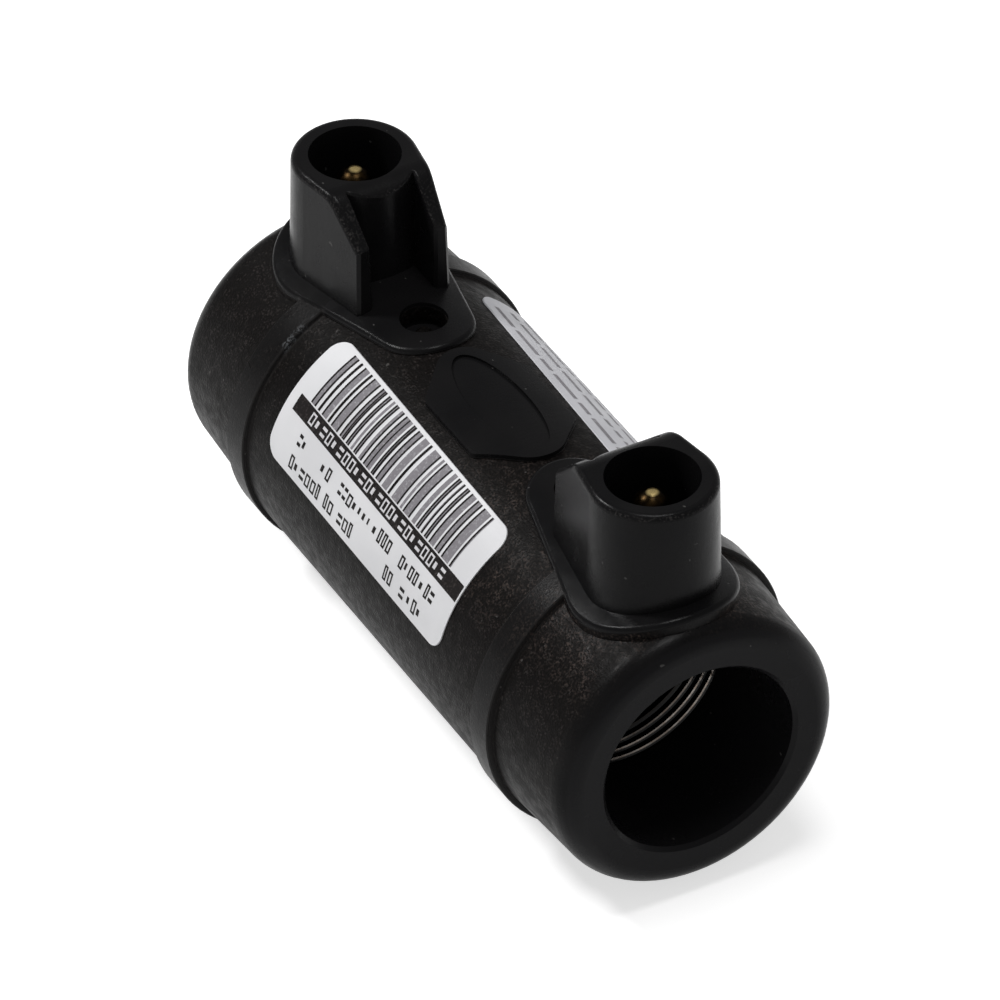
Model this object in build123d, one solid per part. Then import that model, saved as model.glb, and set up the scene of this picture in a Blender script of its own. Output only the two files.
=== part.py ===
from build123d import *
import os
from math import cos, radians, sin, sqrt, tan

# Electrofusion coupler for 20 mm polyethylene pipe. Millimetres.
# The pipe axis is X, the terminals stand up along +Z, and the origin is on the
# pipe axis at the middle of the coupler. The front label faces -Y.

# ---- pipe sockets ----
pipe_diameter = 20.0
socket_clearance = 0.2        # between the pipe and the bore, on the radius
mouth_chamfer = 0.4
stop_height = 1.2             # ridge in the middle of the bore that stops each pipe
stop_width = 2.0
coupler_length = 78.0

# ---- outside of the body, measured from the bore and from each end ----
wall_thickness = 5.6          # of the middle, between the rings
ring_rise = 0.45              # above the middle
ring_inset = 14.15            # from the end to the middle of the raised ring
ring_width = 3.3
ring_chamfer = 0.12
barrel_step = 0.2             # the end barrels lie this much below the middle
barrel_taper = 0.7            # lost on the radius from the ring to the end
end_rounding = 2.2

# ---- terminal towers ----
terminal_inset = 9.7          # from the end to the terminal's axis
tower_height = 10.85          # from the pad's top to the rim
shroud_bore_diameter = 9.2
shroud_wall = 1.7             # at the rim
shroud_depth = 12.4
rim_rounding = 0.7            # round the outside of the rim and of the fins' tops
inner_rim_rounding = 0.3      # between the fins
tower_draft = 1.3             # degrees on every outer wall
fin_reach = 3.4               # beyond the shroud's outside, towards the middle
fin_thickness = 1.2           # at the rim, where the fin ends
fin_gap = 7.3                 # clear width between the two fins of a tower
fin_drop_start = 1.1          # from the shroud's outside back to where the fins' tops start to fall
fin_slope = 42.0              # degrees that the fins' tops fall towards their tips
fin_top_radius = 3.0          # where the fall starts
fin_tip_chamfer = 0.3

# ---- saddle pads and fusion indicator wells ----
pad_rise = 0.6                # above the middle
pad_margin = 2.0              # round the tower
pad_edge_rounding = 0.5
well_spacing = 13.9           # from the terminal's axis to the well's
well_diameter = 4.8
well_depth = 2.6
well_margin = 2.7             # of pad round the well
indicator_diameter = 1.6
indicator_drop = 1.5          # from the pad's top down to the indicator's tip
indicator_chamfer = 0.3

# ---- hexagonal plate between the pads ----
plate_rise = 0.62             # above the middle
plate_gap = 0.8               # from each tip to the pad
plate_width = 11.5
plate_point_angle = 42.0      # degrees from the pipe axis to each slanting side
plate_tip_rounding = 3.2
plate_corner_rounding = 1.0
plate_recess_margin = 1.2     # from each tip to the oval recess
plate_recess_width = 5.7
plate_recess_depth = 0.25

# ---- terminal pins ----
pin_diameter = 4.0
pin_tip_drop = 1.75           # from the rim down to the tip
pin_root_length = 2.6         # held in the plastic below the shroud's floor
pin_collar_diameter = 5.6
pin_collar_height = 1.0
pin_seat_clearance = 0.01

# ---- heating wire ----
wire_diameter = 0.5
wire_sides = 4
wire_clearance = 0.02
wire_turns = 8
wire_pitch = 1.1
coil_inset = 14.25            # from the end to the outer turn

# ---- labels ----
label_length = 35.1
label_height = 14.4
label_thickness = 0.12
label_corner_radius = 1.8
label_centre = -1.5           # along the pipe axis
label_angle = 52.9            # degrees from the top to the middle of each label
front_label_tilt = -1.1       # degrees out of square with the pipe axis
rear_label_tilt = -3.0

# ---- sizes that follow ----
bore_radius = pipe_diameter / 2 + socket_clearance
half_length = coupler_length / 2
middle_radius = bore_radius + wall_thickness
ring_radius = middle_radius + ring_rise
ring_inner = half_length - ring_inset - ring_width / 2
ring_outer = ring_inner + ring_width
barrel_radius = middle_radius - barrel_step
barrel_end_radius = barrel_radius - barrel_taper
pad_radius = middle_radius + pad_rise
plate_radius = middle_radius + plate_rise
terminal_x = half_length - terminal_inset
rim_height = pad_radius + tower_height
shroud_radius = shroud_bore_diameter / 2
tower_radius = shroud_radius + shroud_wall
shroud_floor = rim_height - shroud_depth
well_x = terminal_x - well_spacing
pin_radius = pin_diameter / 2
pin_foot = shroud_floor - pin_root_length
pin_length = rim_height - pin_tip_drop - pin_foot
wire_radius = wire_diameter / 2
wire_axis_radius = bore_radius + wire_clearance + wire_radius
wire_seat_radius = wire_axis_radius + wire_radius + wire_clearance
slot_width = wire_diameter + 2 * wire_clearance
coil_length = wire_turns * wire_pitch
coil_start = half_length - coil_inset
coil_end = coil_start - coil_length

BOTTOM = (Align.CENTER, Align.CENTER, Align.MIN)


def pipe_cylinder(radius, length, x=0):
    """A solid cylinder on the pipe axis, centred at x."""
    return Pos(x, 0, 0) * Rotation(0, 90, 0) * Cylinder(radius, length)


def turned_about(shape):
    """The shape turned half way round the vertical, for the other end."""
    return Rotation(0, 0, 180) * shape


def make_barrel():
    """Turned body: the middle, two raised rings and two tapered, rounded ends."""
    run = half_length - ring_outer
    slope = barrel_taper / run
    shoulder = (half_length - end_rounding, barrel_end_radius + slope * end_rounding)
    nose = (half_length, barrel_end_radius - end_rounding)
    half = [
        (ring_inner, middle_radius),
        (ring_inner, ring_radius - ring_chamfer),
        (ring_inner + ring_chamfer, ring_radius),
        (ring_outer - ring_chamfer, ring_radius),
        (ring_outer, ring_radius - ring_chamfer),
        (ring_outer, barrel_radius),
        shoulder,
    ]
    bulge = 0.55 * end_rounding
    ends = []
    for side in (1, -1):
        leaving = (shoulder[0] + bulge, shoulder[1] - slope * bulge)
        arriving = (nose[0], nose[1] + bulge)
        ends.append(Bezier(*[(side * x, z) for x, z in (shoulder, leaving, arriving, nose)]))
    top = Polyline(*[(-x, z) for x, z in reversed(half)], *half)
    base = Polyline(nose, (half_length, 0), (-half_length, 0), (-half_length, nose[1]))
    return revolve(Plane.XZ * make_face([top, base, *ends]), Axis.X)


def make_pad():
    """Saddle pad of the right end, wrapped on the body round the tower and the well."""
    tower_end = Pos(terminal_x, 0) * Circle(tower_radius + pad_margin)
    well_end = Pos(well_x, 0) * Circle(well_diameter / 2 + well_margin)
    outline = make_hull(tower_end.edges() + well_end.edges())
    pad = extrude(outline, rim_height) & pipe_cylinder(pad_radius, coupler_length)
    top_edges = []
    for edge in pad.edges():
        middle = edge.position_at(0.5)
        if abs(sqrt(middle.Y**2 + middle.Z**2) - pad_radius) < 0.01:
            top_edges.append(edge)
    return fillet(top_edges, pad_edge_rounding)


def make_plate():
    """Long hexagonal plate on top of the middle, with an oval recess."""
    tip = well_x - well_diameter / 2 - well_margin - plate_gap
    side = plate_width / 2
    point = tip + plate_tip_rounding * (1 / sin(radians(plate_point_angle)) - 1)
    shoulder = point - side / tan(radians(plate_point_angle))
    far_side = [(point, 0), (shoulder, side), (-shoulder, side), (-point, 0)]
    near_side = [(-shoulder, -side), (shoulder, -side)]
    outline = make_face(Polyline(*far_side, *near_side, close=True))
    outline = fillet([v for v in outline.vertices() if abs(v.Y) < 0.01], plate_tip_rounding)
    outline = fillet([v for v in outline.vertices() if abs(abs(v.Y) - side) < 0.01], plate_corner_rounding)
    plate = extrude(outline, rim_height) & pipe_cylinder(plate_radius, coupler_length)
    recess = extrude(Ellipse(tip - plate_recess_margin, plate_recess_width / 2), rim_height)
    recess -= pipe_cylinder(plate_radius - plate_recess_depth, coupler_length)
    return plate - recess


def tower_outline(height):
    """Plan of one tower at a height, as wide as its draft makes it there.

    A round shroud with two fins that leave it as tangents towards -X.
    """
    spread = (rim_height - height) * tan(radians(tower_draft))
    radius = tower_radius + spread
    gap = fin_gap / 2 - spread
    tip_x = -tower_radius - fin_reach - spread
    tip_y = gap + fin_thickness + 2 * spread
    # the fin's outside is the tangent from its tip to the shroud
    tip_distance = sqrt(tip_x**2 + tip_y**2)
    root = (
        (radius**2 * tip_x + radius * tip_y * sqrt(tip_distance**2 - radius**2)) / tip_distance**2,
        (radius**2 * tip_y - radius * tip_x * sqrt(tip_distance**2 - radius**2)) / tip_distance**2,
    )
    wall_x = -sqrt(radius**2 - gap**2)

    outside = ThreePointArc(root, (radius, 0), (root[0], -root[1]))
    near_fin = Polyline((root[0], -root[1]), (tip_x, -tip_y), (tip_x, -gap), (wall_x, -gap))
    between = ThreePointArc((wall_x, -gap), (-radius, 0), (wall_x, gap))
    far_fin = Polyline((wall_x, gap), (tip_x, gap), (tip_x, tip_y), root)
    plan = make_face(outside + near_fin + between + far_fin)
    plan = chamfer([v for v in plan.vertices() if abs(v.X - tip_x) < 0.01], fin_tip_chamfer)
    return Pos(0, 0, height) * plan


def rim_edges(tower, between_fins):
    """Top edges of the tower, either those between its fins or those round its outside."""
    fin_base = rim_height - tower_height / 2
    tip_face = tower_radius + fin_reach - fin_tip_chamfer
    fin_middle = (fin_gap + fin_thickness) / 2
    found = []
    for edge in tower.edges():
        middle = edge.position_at(0.5)
        along = abs(edge.tangent_at(0).Y) < 0.99 or edge.geom_type == GeomType.CIRCLE
        level = abs(edge.tangent_at(0.5).Z) < 0.97
        inside = middle.X < 0 and abs(middle.Y) < fin_middle
        if middle.Z > fin_base and middle.X > -tip_face and along and level and inside == between_fins:
            found.append(edge)
    return found


def make_tower():
    """Solid outside of one tower on its own axis, its fins' tops falling towards their tips."""
    sides = loft([tower_outline(0), tower_outline(rim_height + tower_radius)], ruled=True)
    reach = tower_radius + 2 * fin_reach
    crest = fin_drop_start - tower_radius
    low = rim_height - (reach + crest) * tan(radians(fin_slope))
    corners = [(reach, 0), (reach, rim_height), (crest, rim_height), (-reach, low), (-reach, 0)]
    profile = make_face(Polyline(*corners, close=True))
    bend = profile.vertices().sort_by_distance((crest, rim_height))[0]
    profile = fillet(bend, fin_top_radius)
    tower = sides & extrude(Plane.XZ * profile, reach, both=True)

    tower = fillet(rim_edges(tower, False), rim_rounding)
    return fillet(rim_edges(tower, True), inner_rim_rounding)


def make_shroud_bore():
    """Open inside of one shroud, with the pin's seat below it, on the tower's axis."""
    bore = Pos(0, 0, shroud_floor) * Cylinder(shroud_radius, 2 * shroud_depth, align=BOTTOM)
    seat = Pos(0, 0, pin_foot) * Cylinder(pin_radius + pin_seat_clearance, pin_root_length, align=BOTTOM)
    return bore + seat


def make_well():
    """Indicator well of the right end, with the indicator standing in it."""
    floor = pad_radius - well_depth
    well = Pos(well_x, 0, floor) * Cylinder(well_diameter / 2, 2 * well_depth, align=BOTTOM)
    stem = well_depth - indicator_drop
    indicator = Pos(well_x, 0, floor) * Cylinder(indicator_diameter / 2, stem, align=BOTTOM)
    indicator = chamfer(indicator.edges().sort_by(Axis.Z)[-1], indicator_chamfer)
    return well - indicator


def make_wire_way():
    """Space for one end's coil and its lead, from the bore wall up to the pin's foot."""
    seat = pipe_cylinder(wire_seat_radius, coil_length + slot_width, (coil_start + coil_end) / 2)
    slot_length = terminal_x - coil_start + slot_width
    slot = Pos(terminal_x + slot_width / 2, 0, 0) * Box(
        slot_length, slot_width, wire_seat_radius, align=(Align.MAX, Align.CENTER, Align.MIN)
    )
    rise = Pos(terminal_x, 0, 0) * Cylinder(slot_width / 2, pin_foot + pin_seat_clearance, align=BOTTOM)
    return seat + slot + rise


def make_bore():
    """Both sockets, the narrower bore through the stop, and the wire's way between coils."""
    socket_length = half_length - stop_width / 2
    bore = pipe_cylinder(bore_radius - stop_height, coupler_length)
    for side in (1, -1):
        bore += pipe_cylinder(bore_radius, socket_length, side * (half_length - socket_length / 2))
        mouth = Plane(origin=(side * half_length, 0, 0), z_dir=(-side, 0, 0))
        bore += mouth * Cone(bore_radius + mouth_chamfer, bore_radius, mouth_chamfer, align=BOTTOM)
    link = Box(2 * coil_end, slot_width, wire_seat_radius, align=BOTTOM)
    return bore + link


def make_body():
    """The one-piece polyethylene moulding."""
    right = make_pad() + Pos(terminal_x, 0, 0) * make_tower()
    hollow = make_well() + Pos(terminal_x, 0, 0) * make_shroud_bore() + make_wire_way()
    body = make_barrel() + make_plate()
    body += right
    body += turned_about(right)
    body -= make_bore()
    body -= hollow
    return body - turned_about(hollow)


def make_pin():
    """Terminal pin on its own axis: root in the plastic, collar on the floor, round nose."""
    pin = Pos(0, 0, pin_foot) * Cylinder(pin_radius, pin_length - pin_radius, align=BOTTOM)
    pin += Pos(0, 0, pin_foot + pin_length - pin_radius) * Sphere(pin_radius)
    collar = Pos(0, 0, shroud_floor) * Cylinder(pin_collar_diameter / 2, pin_collar_height, align=BOTTOM)
    return pin + collar


def make_coil():
    """Helix of the right end's fusion zone, from its outer turn inwards, starting at the top."""
    helix = Helix(wire_pitch, coil_length, wire_axis_radius)
    section = Plane(origin=helix @ 0, z_dir=helix % 0) * RegularPolygon(wire_radius, wire_sides)
    coil = sweep(section, path=helix, is_frenet=True)
    return Pos(coil_start, 0, 0) * Rotation(0, -90, 0) * coil


def make_wire():
    """The whole wire: two coils, the link between them and a lead up to each pin."""
    z = wire_axis_radius
    section = Plane.YZ * RegularPolygon(wire_radius, wire_sides)
    link = extrude(Pos(-coil_end, 0, z) * section, 2 * coil_end)
    run = Polyline((coil_start, 0, z), (terminal_x, 0, z), (terminal_x, 0, pin_foot))
    lead = sweep(Pos(coil_start, 0, z) * section, path=run, transition=Transition.RIGHT)
    end = make_coil() + lead
    wire = link + end
    wire += turned_about(end)
    return wire


def make_label(angle, tilt):
    """Thin label on the middle of the body, its face turned by the angle from the top to -Y."""
    outside = middle_radius + label_thickness
    chord = 2 * middle_radius * sin(label_height / middle_radius / 2)
    outline = RectangleRounded(label_length, chord, label_corner_radius)
    block = extrude(Rotation(0, 0, tilt) * outline, outside)
    label = Pos(label_centre, 0, 0) * Rotation(angle, 0, 0) * block
    label &= pipe_cylinder(outside, coupler_length)
    return label - pipe_cylinder(middle_radius, coupler_length)


right_pin = Pos(terminal_x, 0, 0) * make_pin()
parts = {
    "coupler_body": make_body(),
    "terminal_pin_right": right_pin,
    "terminal_pin_left": turned_about(right_pin),
    "heating_wire": make_wire(),
    "front_label": make_label(label_angle, front_label_tilt),
    "rear_label": make_label(-label_angle, rear_label_tilt),
}

os.makedirs("parts", exist_ok=True)
for name, shape in parts.items():
    export_step(shape, f"parts/{name}.step")
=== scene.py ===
from math import cos, hypot, radians, sin

import bmesh
import bpy
from mathutils import Matrix, Vector


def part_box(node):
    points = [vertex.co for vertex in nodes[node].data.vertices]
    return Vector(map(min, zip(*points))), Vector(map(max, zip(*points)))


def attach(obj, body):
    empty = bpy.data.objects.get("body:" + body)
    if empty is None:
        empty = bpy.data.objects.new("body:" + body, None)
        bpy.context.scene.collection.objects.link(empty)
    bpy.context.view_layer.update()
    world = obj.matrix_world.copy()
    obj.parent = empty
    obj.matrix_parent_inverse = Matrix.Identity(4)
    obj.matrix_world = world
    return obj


# The looks of an electrofusion pipe coupler. Metres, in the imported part's frame:
# +X along the pipe, +Z up towards the terminals, -Y towards the front label.

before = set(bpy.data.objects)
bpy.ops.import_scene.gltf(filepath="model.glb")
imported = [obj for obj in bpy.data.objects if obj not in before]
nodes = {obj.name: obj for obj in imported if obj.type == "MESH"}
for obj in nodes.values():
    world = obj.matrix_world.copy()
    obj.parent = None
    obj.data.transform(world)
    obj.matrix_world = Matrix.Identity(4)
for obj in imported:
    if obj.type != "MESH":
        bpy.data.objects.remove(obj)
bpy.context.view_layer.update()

MM = 0.001

# ---- sizes read from the part ----
body_low, body_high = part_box("coupler_body")
pin_low, pin_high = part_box("terminal_pin_right")
half_length = body_high.x
terminal_x = (pin_low.x + pin_high.x) / 2
coil_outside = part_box("heating_wire")[1].y
label_outside = max(hypot(v.co.y, v.co.z) for v in nodes["front_label"].data.vertices)

# ---- driving sizes that the part was made with ----
label_thickness = 0.12 * MM
label_angle = radians(52.9)         # from the top to the middle of each label
front_label_tilt = 1.1              # degrees out of square with the pipe axis
rear_label_tilt = -3.0
ring_rise = 0.45 * MM               # above the middle of the body
ring_inset = 14.15 * MM             # from the end to the middle of the ring
ring_width = 3.3 * MM
pad_rise = 0.6 * MM
wire_diameter = 0.5 * MM
coil_inset = 14.25 * MM             # from the end to the coil's outer turn

# ---- sizes that follow ----
middle_radius = label_outside - label_thickness
ring_radius = middle_radius + ring_rise
ring_middle = half_length - ring_inset
ring_reach = ring_width / 2
pad_radius = middle_radius + pad_rise
coil_inside = coil_outside - wire_diameter
outer_turn = half_length - coil_inset

# ---- colours of the polyethylene, all linear ----
SMOOTH_BLACK = (0.0052, 0.0051, 0.0055)
PALER_BLACK = (0.0072, 0.0069, 0.0072)
GRAINED_BLACK = (0.0046, 0.0040, 0.0038)
BORE_BLACK = (0.0085, 0.0082, 0.0088)
# painted light on the ring steps, lifting their shade
PAINTED_STEP_LIGHT = (0.026, 0.025, 0.0245)
# painted highlight: warm glints on the grain
WARM_PAINTED_GLINT = (0.050, 0.0385, 0.034)
# painted highlight: fine grey glints on the grain
GREY_PAINTED_GLINT = (0.023, 0.0200, 0.0190)
SCRAPED = (0.085, 0.090, 0.095)
# partly real scuffs, partly painted highlight on leaning edges
SCUFF_AND_HIGHLIGHT = (0.030, 0.028, 0.0275)
PALE_SPECK = (0.16, 0.155, 0.15)

# ---- colours of the metals ----
BRASS = (0.84, 0.64, 0.28)
# painted shade on the pins' sides, below the bright crown
DARK_PAINTED_SHADE = (0.006, 0.004, 0.002)
BROWN_PAINTED_SHADE = (0.022, 0.013, 0.005)
WIRE_SKIN = (0.008, 0.007, 0.007)
WIRE_DULL = (0.70, 0.55, 0.45)
WIRE_BRIGHT = (0.95, 0.87, 0.80)

# ---- colours of the labels and inks: the usual one, then the one in patches ----
FRONT_FILM = ((0.72, 0.72, 0.735), (0.65, 0.65, 0.665))
# the rear film is the front's paper painted darker, as painted shade on the side away from the lamps
REAR_FILM_IN_PAINTED_SHADE = ((0.56, 0.56, 0.59), (0.49, 0.49, 0.52))
FILM_SPECK = (0.45, 0.44, 0.46)
BLACK_INK = ((0.012, 0.010, 0.010), (0.045, 0.038, 0.036))
GREY_INK = ((0.21, 0.20, 0.215), (0.36, 0.355, 0.37))
KNOCKOUT = ((0.62, 0.61, 0.63), (0.42, 0.41, 0.42))


# ---------------------------------------------------------------- materials


class Nodes:
    """A short way to write one material's node tree, placed by object coordinates."""

    def __init__(self, name):
        self.material = bpy.data.materials.new(name)
        self.material.use_nodes = True
        self.tree = self.material.node_tree
        self.shader = self.tree.nodes["Principled BSDF"]
        where = self.add("TexCoord").outputs
        self.place, self.normal = where["Object"], where["Normal"]

    def add(self, kind, inputs=None, **settings):
        node = self.tree.nodes.new("ShaderNode" + kind)
        for key, value in settings.items():
            setattr(node, key, value)
        for key, value in (inputs or {}).items():
            self.put(node.inputs[key], value)
        return node

    def put(self, socket, value):
        if isinstance(value, bpy.types.NodeSocket):
            self.tree.links.new(value, socket)
        else:
            socket.default_value = value

    def set(self, **sockets):
        for key, value in sockets.items():
            self.put(self.shader.inputs[key.replace("_", " ")], value)

    def math(self, operation, a, b=0.0):
        return self.add("Math", {0: a, 1: b}, operation=operation).outputs[0]

    def product(self, first, *others):
        for other in others:
            first = self.math("MULTIPLY", first, other)
        return first

    def total(self, first, *others):
        for other in others:
            first = self.math("ADD", first, other)
        return first

    def distance(self, a, b):
        """How far a value is from another, on either side."""
        return self.math("ABSOLUTE", self.math("SUBTRACT", a, b))

    def hypot(self, a, b):
        return self.math("SQRT", self.total(self.product(a, a), self.product(b, b)))

    def split(self, vector):
        return self.add("SeparateXYZ", {0: vector}).outputs

    def mix(self, factor, a, b):
        """Blend two colours, each given as a socket or as red, green and blue."""
        a, b = [(*colour, 1) if isinstance(colour, tuple) else colour for colour in (a, b)]
        return self.add("Mix", {0: factor, 6: a, 7: b}, data_type="RGBA").outputs[2]

    def ramp(self, value, low, high, to_low=0.0, to_high=1.0):
        """A smooth step, from to_low where the value is at low to to_high where it is at high."""
        inputs = {0: value, 1: low, 2: high, 3: to_low, 4: to_high}
        return self.add("MapRange", inputs, interpolation_type="SMOOTHSTEP").outputs[0]

    def noise(self, size, detail=2.0, roughness=0.5, vector=None):
        inputs = {"Scale": 1 / size, "Detail": detail, "Roughness": roughness}
        inputs["Vector"] = self.place if vector is None else vector
        return self.add("TexNoise", inputs).outputs["Fac"]

    def bump(self, height, distance, normal=None):
        inputs = {"Height": height, "Distance": distance}
        if normal is not None:
            inputs["Normal"] = normal
        return self.add("Bump", inputs).outputs["Normal"]


class Polyethylene(Nodes):
    """Black PE, whose grain, wear and painted light depend on where on the body a point lies."""

    def __init__(self):
        super().__init__("polyethylene")
        self.x, self.y, self.z = self.split(self.place)
        self.radius = self.hypot(self.y, self.z)
        self.along = self.math("ABSOLUTE", self.x)
        self.off_ring = self.distance(self.along, ring_middle)

        self.coarse = self.noise(0.25 * MM, 1.5)
        self.medium = self.noise(1.2 * MM, 2.0, 0.6)
        self.fine = self.noise(0.23 * MM, 1.0)

        self.outside = self.ramp(self.radius, middle_radius - 1.7 * MM, middle_radius - 1.4 * MM)
        self.grained = self.grained_faces()

    def grained_faces(self):
        """Full on the turned surfaces, less on the tops of the rings, faint at the ends."""
        turned = self.ramp(self.radius, middle_radius + 0.20 * MM, middle_radius + 0.08 * MM)
        on_ring = self.ramp(self.off_ring, ring_reach + 0.20 * MM, ring_reach)
        below_pads = self.ramp(self.radius, ring_radius + 0.09 * MM, ring_radius + 0.03 * MM)
        ring_top = self.product(on_ring, below_pads, 0.45)
        before_end = self.ramp(self.along, half_length - 1.0 * MM, half_length - 3.0 * MM, 0.12)
        return self.product(self.outside, self.math("MAXIMUM", turned, ring_top), before_end)

    def painted_warm_glints(self):
        """Painted highlights: clumps of bright, brownish glints on the grain, in patches and mostly
        on the upper right.
        """
        grains = self.ramp(self.coarse, 0.45, 0.74)
        clumps = self.ramp(self.medium, 0.40, 0.60, 0.30, 1.25)
        patches = self.ramp(self.noise(7 * MM), 0.36, 0.54, 0.15)
        to_the_right = self.ramp(self.x, -4 * MM, 22 * MM, 0.12)
        upper = self.ramp(self.z, 7.5 * MM, 11.5 * MM, 0.12)
        return self.product(self.grained, grains, clumps, patches, to_the_right, upper)

    def painted_grey_glints(self):
        """Painted highlights: small grey glints all over the grained faces, fainter low down."""
        grains = self.ramp(self.fine, 0.53, 0.70)
        clumps = self.ramp(self.medium, 0.42, 0.60, 0.20, 1.2)
        upper = self.ramp(self.z, -6 * MM, 11 * MM, 0.35)
        return self.product(self.grained, grains, clumps, upper)

    def ring_step_painted_light(self):
        """Painted light on the steps at both sides of each ring, lifting their shade, more of it low
        down.
        """
        past_edge = self.ramp(self.off_ring, ring_reach - 0.25 * MM, ring_reach - 0.05 * MM)
        near_step = self.ramp(self.off_ring, ring_reach + 0.55 * MM, ring_reach + 0.05 * MM)
        below_pads = self.ramp(self.radius, ring_radius + 0.15 * MM, ring_radius + 0.05 * MM)
        lower = self.ramp(self.z, -2 * MM, 12 * MM, 1.0, 0.6)
        return self.product(self.outside, past_edge, near_step, below_pads, lower)

    def rub_mark(self):
        """A broken scrape on the front of the left ring, along its inner edge."""
        inner_edge = ring_middle - ring_reach
        band = self.ramp(self.distance(self.x, -inner_edge - 0.2 * MM), 0.5 * MM, 0.1 * MM)
        behind_start = self.ramp(self.y, -11.6 * MM, -11.0 * MM)
        before_end = self.ramp(self.y, -7 * MM, -11 * MM)
        grains = self.ramp(self.fine, 0.40, 0.62)
        clumps = self.ramp(self.medium, 0.36, 0.50)
        return self.product(self.outside, band, behind_start, before_end, grains, clumps)

    def scuffs_and_painted_highlights(self):
        """Paler scuffs and painted edge highlights on roundings and fin tops: the raised, smooth
        faces that lean.
        """
        upward = self.split(self.normal)[2]
        leaning = self.product(self.ramp(upward, 0.15, 0.40), self.ramp(upward, 0.85, 0.65))
        raised = self.ramp(self.radius, pad_radius, pad_radius + 0.2 * MM)
        grains = self.ramp(self.fine, 0.48, 0.68)
        patches = self.ramp(self.noise(2 * MM), 0.42, 0.58, 0.25)
        return self.product(leaning, raised, grains, patches)

    def colour(self):
        waves = self.ramp(self.noise(6 * MM, 1.0), 0.3, 0.7)
        specks = self.ramp(self.noise(0.6 * MM, 0.0), 0.85, 0.88, 0.0, 0.3)
        colour = self.mix(waves, SMOOTH_BLACK, PALER_BLACK)
        for amount, layer in (
            (self.grained, GRAINED_BLACK),
            (self.math("SUBTRACT", 1.0, self.outside), BORE_BLACK),
            (self.ring_step_painted_light(), PAINTED_STEP_LIGHT),
            (self.painted_warm_glints(), WARM_PAINTED_GLINT),
            (self.painted_grey_glints(), GREY_PAINTED_GLINT),
            (self.rub_mark(), SCRAPED),
            (self.scuffs_and_painted_highlights(), SCUFF_AND_HIGHLIGHT),
            (specks, PALE_SPECK),
        ):
            colour = self.mix(amount, colour, layer)
        return colour

    def roughness(self):
        smooth = self.ramp(self.noise(2.2 * MM, 3.0), 0.25, 0.75, 0.20, 0.29)
        grained = self.ramp(self.medium, 0.3, 0.7, 0.46, 0.32)
        return self.add("Mix", {0: self.grained, 2: smooth, 3: grained}).outputs[0]

    def relief(self):
        """Spark-eroded grain on the turned surfaces, and satin with faint streaks on all."""
        grain = self.total(self.coarse, self.medium, self.product(self.fine, 0.4))
        lengthwise = self.add("Mapping", {"Vector": self.place, "Scale": (1.0, 0.2, 0.2)}).outputs[0]
        streaks = self.noise(0.35 * MM, vector=lengthwise)
        satin = self.total(self.noise(0.1 * MM), self.product(streaks, 0.8))
        grained_normal = self.bump(self.product(self.grained, grain), 0.036 * MM)
        return self.bump(satin, 0.010 * MM, grained_normal)


def polyethylene():
    smooth_shine, grained_shine = 0.075, 0.042
    m = Polyethylene()
    m.set(Base_Color=m.colour(), Roughness=m.roughness(), Normal=m.relief())
    m.set(Specular_IOR_Level=m.ramp(m.grained, 0.0, 1.0, smooth_shine, grained_shine))
    return m.material


def brass_with_painted_shade():
    """Terminal metal, brass on the crown and painted shade below it: the sides are near black with
    brown mottle, standing for the dark shroud walls they reflect.
    """
    m = Nodes("pin_metal")
    x, y, _ = m.split(m.place)
    off_axis = m.hypot(m.math("SUBTRACT", m.math("ABSOLUTE", x), terminal_x), y)
    bright_crown = m.ramp(off_axis, 0.75 * MM, 0.35 * MM)
    mottle = m.noise(0.7 * MM, 3.0, 0.6)
    painted_shade = m.mix(m.ramp(mottle, 0.3, 0.7), DARK_PAINTED_SHADE, BROWN_PAINTED_SHADE)
    turning = m.noise(0.05 * MM, 1.0, vector=m.add("CombineXYZ", {0: off_axis}).outputs[0])
    m.set(Base_Color=m.mix(bright_crown, painted_shade, BRASS), Metallic=1.0)
    m.set(Roughness=m.ramp(mottle, 0.3, 0.7, 0.24, 0.34), Normal=m.bump(turning, 0.004 * MM))
    return m.material


def embedded_wire():
    """Resistance wire: only its crest shows through the skin that the bore's wall leaves on it,
    painted brighter low down as a painted highlight.
    """
    m = Nodes("resistance_wire")
    x, y, z = m.split(m.place)
    crest = m.ramp(m.hypot(y, z), coil_inside + 0.16 * MM, coil_inside + 0.05 * MM)
    outer = m.ramp(m.math("ABSOLUTE", x), outer_turn - 3.35 * MM, outer_turn - 1.75 * MM, 0.05)
    # painted highlight: the crest shows brighter towards its low end
    lower = m.ramp(z, 6 * MM, -1 * MM, 0.35)
    patches = m.ramp(m.noise(2.6 * MM), 0.35, 0.65, 0.6)
    drawn = m.noise(0.4 * MM, 2.0, 0.6)
    metal = m.mix(m.ramp(drawn, 0.3, 0.7), WIRE_DULL, WIRE_BRIGHT)
    m.set(Base_Color=m.mix(m.product(crest, outer, lower, patches), WIRE_SKIN, metal))
    m.set(Metallic=m.product(crest, 0.8), Roughness=m.ramp(drawn, 0.3, 0.7, 0.14, 0.24))
    m.set(Normal=m.bump(drawn, 0.01 * MM))
    return m.material


def label_film(name, usual, patch):
    """Satin printed film with faint fibres, slightly greyer in patches."""
    m = Nodes(name)
    fibres = m.noise(0.35 * MM, 3.0, 0.6)
    film = m.mix(m.ramp(m.noise(8 * MM), 0.3, 0.7), usual, patch)
    speck = m.ramp(m.noise(0.22 * MM), 0.72, 0.8, 0.0, 0.25)
    m.set(Base_Color=m.mix(speck, film, FILM_SPECK), Specular_IOR_Level=0.35)
    m.set(Roughness=m.ramp(fibres, 0.3, 0.7, 0.38, 0.5), Normal=m.bump(fibres, 0.008 * MM))
    return m.material


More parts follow.
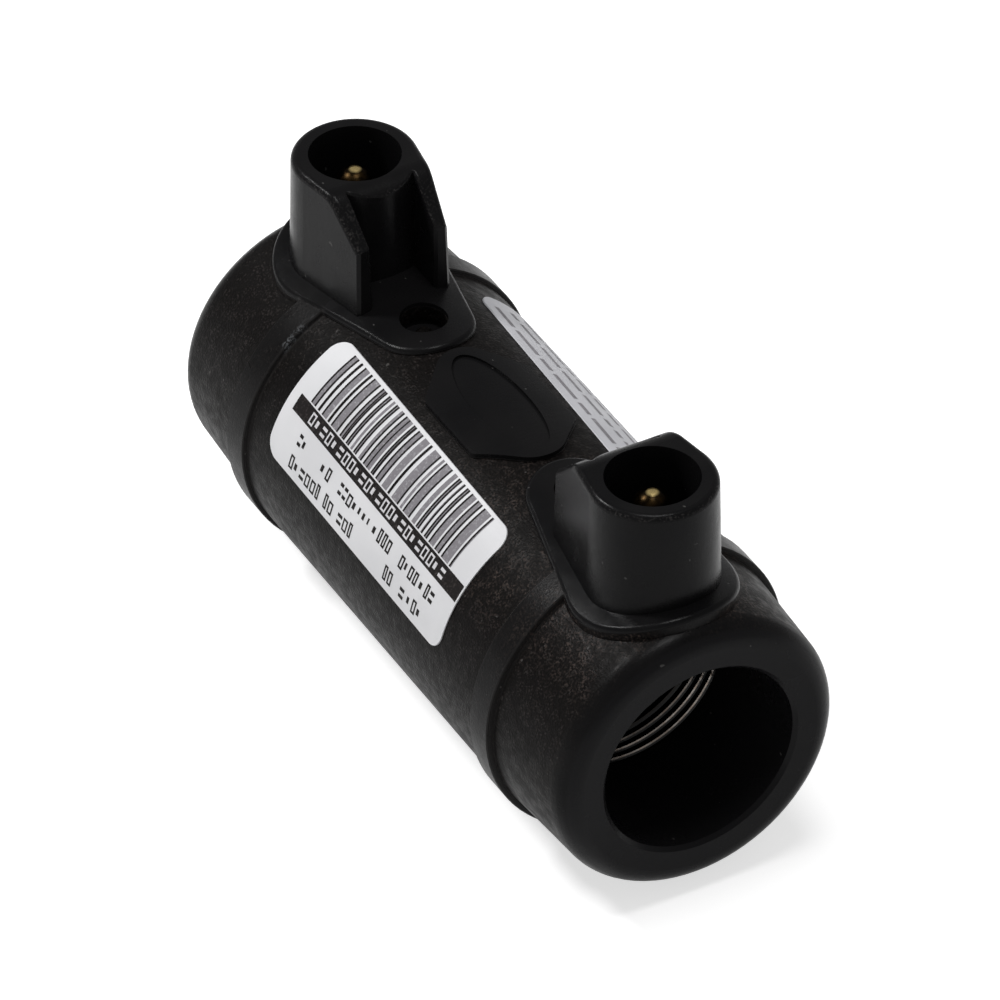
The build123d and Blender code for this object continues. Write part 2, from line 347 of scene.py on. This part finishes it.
def ink(name, usual, patch):
    """Thermal print, a little uneven where the head pressed less."""
    m = Nodes(name)
    missed = m.ramp(m.noise(0.3 * MM, 3.0, 0.6), 0.5, 0.75)
    m.set(Base_Color=m.mix(missed, usual, patch), Specular_IOR_Level=0.08)
    m.set(Roughness=m.ramp(m.noise(0.5 * MM), 0.3, 0.7, 0.42, 0.55))
    m.set(Normal=m.bump(m.noise(0.25 * MM), 0.004 * MM))
    return m.material


def dress(material, *names):
    for name in names:
        nodes[name].data.materials.clear()
        nodes[name].data.materials.append(material)


dress(polyethylene(), "coupler_body")
dress(brass_with_painted_shade(), "terminal_pin_left", "terminal_pin_right")
dress(embedded_wire(), "heating_wire")
dress(label_film("front_label_film", *FRONT_FILM), "front_label")
dress(label_film("rear_label_film", *REAR_FILM_IN_PAINTED_SHADE), "rear_label")
black_ink = ink("black_ink", *BLACK_INK)
grey_ink = ink("grey_ink", *GREY_INK)
knockout = ink("knockout_print", *KNOCKOUT)

# -------------------------------------------------------------------- print

# heights of the printed sheets over the film, in millimetres
ON_FILM = 0.012
ON_INK = 0.020
ON_STRIP = 0.024

# kinds of greeked mark
BOX, DASHES, TAB = range(3)


class Print:
    """Flat printed shapes laid on one label, in millimetres from the label's middle.

    u runs along the pipe axis and v runs down the label's face, away from the top.
    """

    def __init__(self, name, label, side, tilt, lift=ON_FILM):
        low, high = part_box(label)
        self.name = name
        self.side = side
        self.tilt = radians(tilt)
        self.lift = lift
        self.centre = (low.x + high.x) / 2
        self.shapes = bmesh.new()

    def point(self, u, v):
        x = u * cos(self.tilt) - v * sin(self.tilt)
        arc = u * sin(self.tilt) + v * cos(self.tilt)
        turn = label_angle + arc * MM / label_outside
        reach = label_outside + self.lift * MM
        return (self.centre + x * MM, -self.side * reach * sin(turn), reach * cos(turn))

    def block(self, u0, u1, v0, v1):
        """A filled oblong, in strips narrow enough to follow the label's curve."""
        strip_width = 0.4
        strips = max(1, round((v1 - v0) / strip_width))
        rows = []
        for k in range(strips + 1):
            v = v0 + (v1 - v0) * k / strips
            rows.append([self.shapes.verts.new(self.point(u, v)) for u in (u0, u1)])
        for (a, b), (d, c) in zip(rows, rows[1:]):
            self.shapes.faces.new((a, d, c, b) if self.side > 0 else (a, b, c, d))

    def box(self, u0, u1, v0, v1, line):
        """A hollow oblong."""
        self.block(u0, u0 + line, v0, v1)
        self.block(u1 - line, u1, v0, v1)
        self.block(u0 + line, u1 - line, v0, v0 + line)
        self.block(u0 + line, u1 - line, v1 - line, v1)

    def mark(self, kind, u, width, v0, v1, line):
        """One greeked mark, of a given line width."""
        if kind == BOX:
            self.box(u, u + width, v0, v1, line)
        elif kind == DASHES:
            margin = 0.12
            dash = 1.6 * line
            self.block(u, u + width, v0 + margin, v0 + margin + dash)
            self.block(u, u + width, v1 - margin - dash, v1 - margin)
        else:
            middle = (v0 + v1) / 2
            half_height = 0.35
            self.block(u, u + 0.55 * width, middle - half_height, middle + half_height)

    def word(self, u0, u1, v0, v1, seed):
        """A greeked word, made of marks of uneven width and height."""
        narrowest, gap, line = 0.4, 0.25, 0.23
        u = u0
        k = seed
        while u < u1 - narrowest:
            k = (k * 73 + 41) % 101
            uneven = 0.12 * (k % 3)
            width = min(0.62 + uneven, u1 - u)
            kind = (BOX, DASHES, BOX, TAB, BOX)[k % 5]
            self.mark(kind, u, width, v0 + uneven, v1, line)
            u += width + gap

    def finish(self, material):
        mesh = bpy.data.meshes.new(self.name)
        self.shapes.to_mesh(mesh)
        self.shapes.free()
        piece = bpy.data.objects.new(self.name, mesh)
        bpy.context.scene.collection.objects.link(piece)
        mesh.materials.append(material)
        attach(piece, "root")


def front_sheet(name, lift=ON_FILM):
    return Print(name, "front_label", 1, front_label_tilt, lift)


def print_bars():
    """Grey bars of uneven width, with black lines at most of their edges."""
    top, bottom = -6.8, -0.5
    first, last, limit = -14.5, 14.3, 15.2
    line = 0.24
    hatch = front_sheet("front_label_hatch")
    bars = front_sheet("front_label_bars", ON_INK)
    u = first
    k = 7
    while u < last:
        k = (k * 29 + 17) % 97
        width = (0.35, 0.6, 0.95, 1.35)[k % 4]
        end = min(u + width, limit)
        middle = (u + end) / 2
        hatch.block(u, end, top, bottom)
        if k % 5:
            bars.block(u, u + line, top, bottom)
        if k % 3:
            bars.block(end - line, end, top, bottom)
        if k % 7 < 3 and width > 0.5:
            bars.block(middle, middle + 0.2, top, bottom)
        u = end + 0.26 + 0.1 * (k % 3)
    hatch.finish(grey_ink)
    bars.finish(black_ink)


def print_strip():
    """The black strip, with a row of light marks."""
    top, bottom, margin = -0.35, 1.5, 0.3
    strip = front_sheet("front_label_strip")
    strip.block(-16.2, 17.35, top, bottom)
    strip.finish(black_ink)

    first, spacing, width, line = -13.3, 1.16, 0.82, 0.2
    marks = front_sheet("front_label_strip_marks", ON_STRIP)
    for k in range(24):
        kind = (BOX, TAB, DASHES)[k % 7 % 3]
        marks.mark(kind, first + spacing * k, width, top + margin, bottom - margin, line)
    marks.finish(knockout)


def print_front_lines():
    """Two lines of greeked words below the strip."""
    upper = ((-13.3, -11.3), (-8.5, -6.5), (-4.8, 1.5), (2.2, 6.2), (7.7, 11.2), (11.7, 14.7))
    lower = ((-13.4, -7.2), (-6.3, -4.3), (-3.5, -0.3), (6.0, 7.8), (9.2, 10.2), (10.7, 13.7))
    lines = front_sheet("front_label_lines")
    for words, top, bottom, seed in ((upper, 2.4, 3.9, 11), (lower, 4.8, 6.4, 31)):
        for k, (u0, u1) in enumerate(words):
            lines.word(u0, u1, top, bottom, seed + k)
    lines.finish(black_ink)


def print_rear_lines():
    """Fine grey lines of greeked print."""
    lines = Print("rear_label_lines", "rear_label", -1, rear_label_tilt)
    reach, thickness, gap = 15.5, 0.55, 0.7
    first_top, spacing = -6.1, 2.1
    for row in range(6):
        top = first_top + spacing * row
        u = -reach
        k = 5 + row
        while u < reach - 0.5:
            k = (k * 37 + 11) % 89
            length = 1.4 + 0.8 * (k % 5)
            lines.block(u, min(u + length, reach), top, top + thickness)
            u += length + gap
    lines.finish(grey_ink)


print_bars()
print_strip()
print_front_lines()
print_rear_lines()

# ------------------------------------------------------------ stage and light


def make_floor():
    """A plain pale floor, lit to white for the camera and less so for reflections."""
    glow_seen, glow_reflected = 0.62, 0.38
    bpy.ops.mesh.primitive_plane_add(size=4, location=(0, 0, body_low.z))
    floor = bpy.context.object
    floor.name = "floor"
    m = Nodes("floor_paint")
    ray = m.add("LightPath").outputs
    seen = m.math("MAXIMUM", ray["Is Camera Ray"], ray["Is Transmission Ray"])
    reflected = m.product(ray["Is Glossy Ray"], glow_reflected)
    glow = m.math("MAXIMUM", m.product(seen, glow_seen), reflected)
    m.set(Base_Color=(0.80, 0.80, 0.80, 1), Roughness=0.9, Specular_IOR_Level=0.0)
    m.set(Emission_Color=(1, 1, 1, 1), Emission_Strength=glow)
    floor.data.materials.append(m.material)


def make_world():
    """An even, pale room, a little darker overhead."""
    world = bpy.data.worlds.new("studio")
    bpy.context.scene.world = world
    world.use_nodes = True
    tree = world.node_tree
    direction = tree.nodes.new("ShaderNodeSeparateXYZ")
    tree.links.new(tree.nodes.new("ShaderNodeTexCoord").outputs["Generated"], direction.inputs[0])
    strength = tree.nodes.new("ShaderNodeMapRange")
    strength.interpolation_type = "SMOOTHSTEP"
    for socket, value in (("From Min", 0.1), ("From Max", 0.7), ("To Min", 0.45), ("To Max", 0.24)):
        strength.inputs[socket].default_value = value
    tree.links.new(direction.outputs["Z"], strength.inputs["Value"])
    background = tree.nodes["Background"]
    background.inputs["Color"].default_value = (1, 1, 1, 1)
    tree.links.new(strength.outputs[0], background.inputs["Strength"])


def area_light(name, place, size, power):
    """A round lamp that points at the middle of the coupler."""
    lamp = bpy.data.lights.new(name, "AREA")
    lamp.shape = "DISK"
    lamp.size = size
    lamp.energy = power
    holder = bpy.data.objects.new(name, lamp)
    holder.location = place
    holder.rotation_euler = (-Vector(place)).to_track_quat("-Z", "Y").to_euler()
    bpy.context.scene.collection.objects.link(holder)


def make_camera():
    """At the photograph's angle: past the right end, a little to the front and above."""
    round_from_front = radians(61.171)
    above_floor = radians(38.127)
    roll = radians(-0.18)
    aim = Vector((-1.881, 0.951, 2.684)) * MM
    distance = 855.606 * MM

    lens = bpy.data.cameras.new("camera")
    lens.lens = 316.87
    lens.sensor_width = 36
    lens.clip_end = 10
    camera = bpy.data.objects.new("camera", lens)
    level = cos(above_floor)
    back = Vector((level * sin(round_from_front), -level * cos(round_from_front), sin(above_floor)))
    turn = back.to_track_quat("Z", "Y").to_matrix().to_4x4() @ Matrix.Rotation(roll, 4, "Z")
    camera.matrix_world = Matrix.Translation(aim + distance * back) @ turn
    bpy.context.scene.collection.objects.link(camera)
    bpy.context.scene.camera = camera


make_floor()
make_world()
make_camera()
area_light("key", (-0.34, -0.30, 0.53), 0.12, 2.6)
area_light("top", (0.05, 0.02, 0.62), 0.22, 1.3)
bpy.context.scene.view_settings.view_transform = "Standard"
